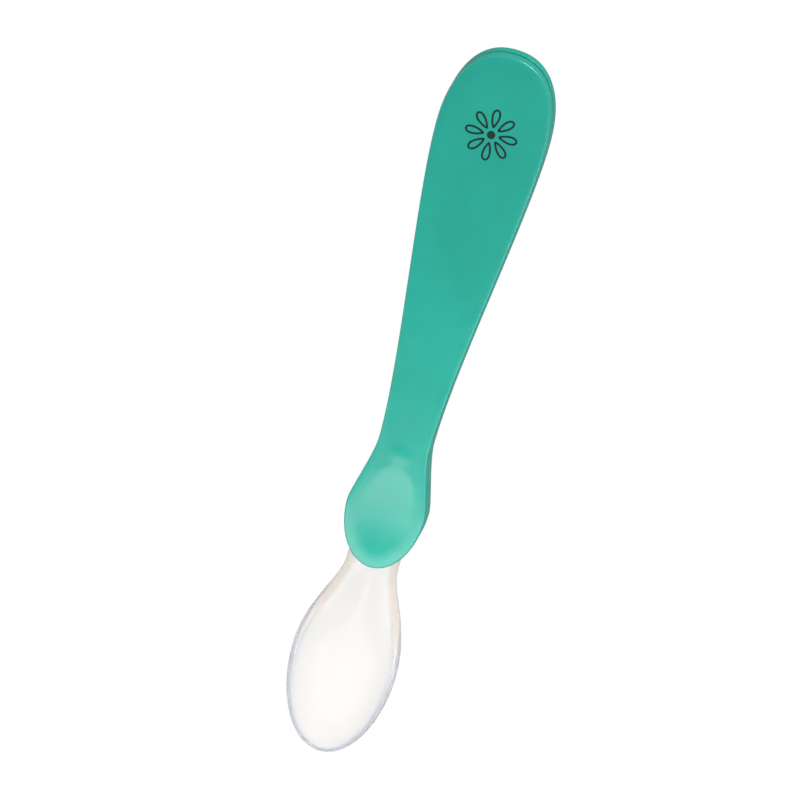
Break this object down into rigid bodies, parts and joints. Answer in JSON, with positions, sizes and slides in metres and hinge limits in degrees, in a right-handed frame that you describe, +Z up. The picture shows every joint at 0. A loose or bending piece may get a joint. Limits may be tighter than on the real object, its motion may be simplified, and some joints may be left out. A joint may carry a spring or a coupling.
{
  "type": "baby spoon",
  "caption": "Baby feeding spoon with a hollow clamshell plastic handle, a thumb dish near its neck and a soft clear bowl held between the shells.",
  "frame": {"origin": "centre of the bounding box at the surface that the spoon lies on", "axes": "+Z up out of the bowl and the dished face, +Y along the spoon towards the end of the handle, X across the spoon; the spoon lies on the flat of its back"},
  "size_m": [0.0242, 0.159, 0.0084],
  "materials": {
    "teal_plastic_front": "satin",
    "teal_plastic_back": "satin",
    "clear_silicone": "glossy"
  },
  "bodies": {
    "root": {"front_shell": "teal_plastic_front", "back_shell": "teal_plastic_back", "silicone_bowl": "clear_silicone"}
  },
  "joints": []
}
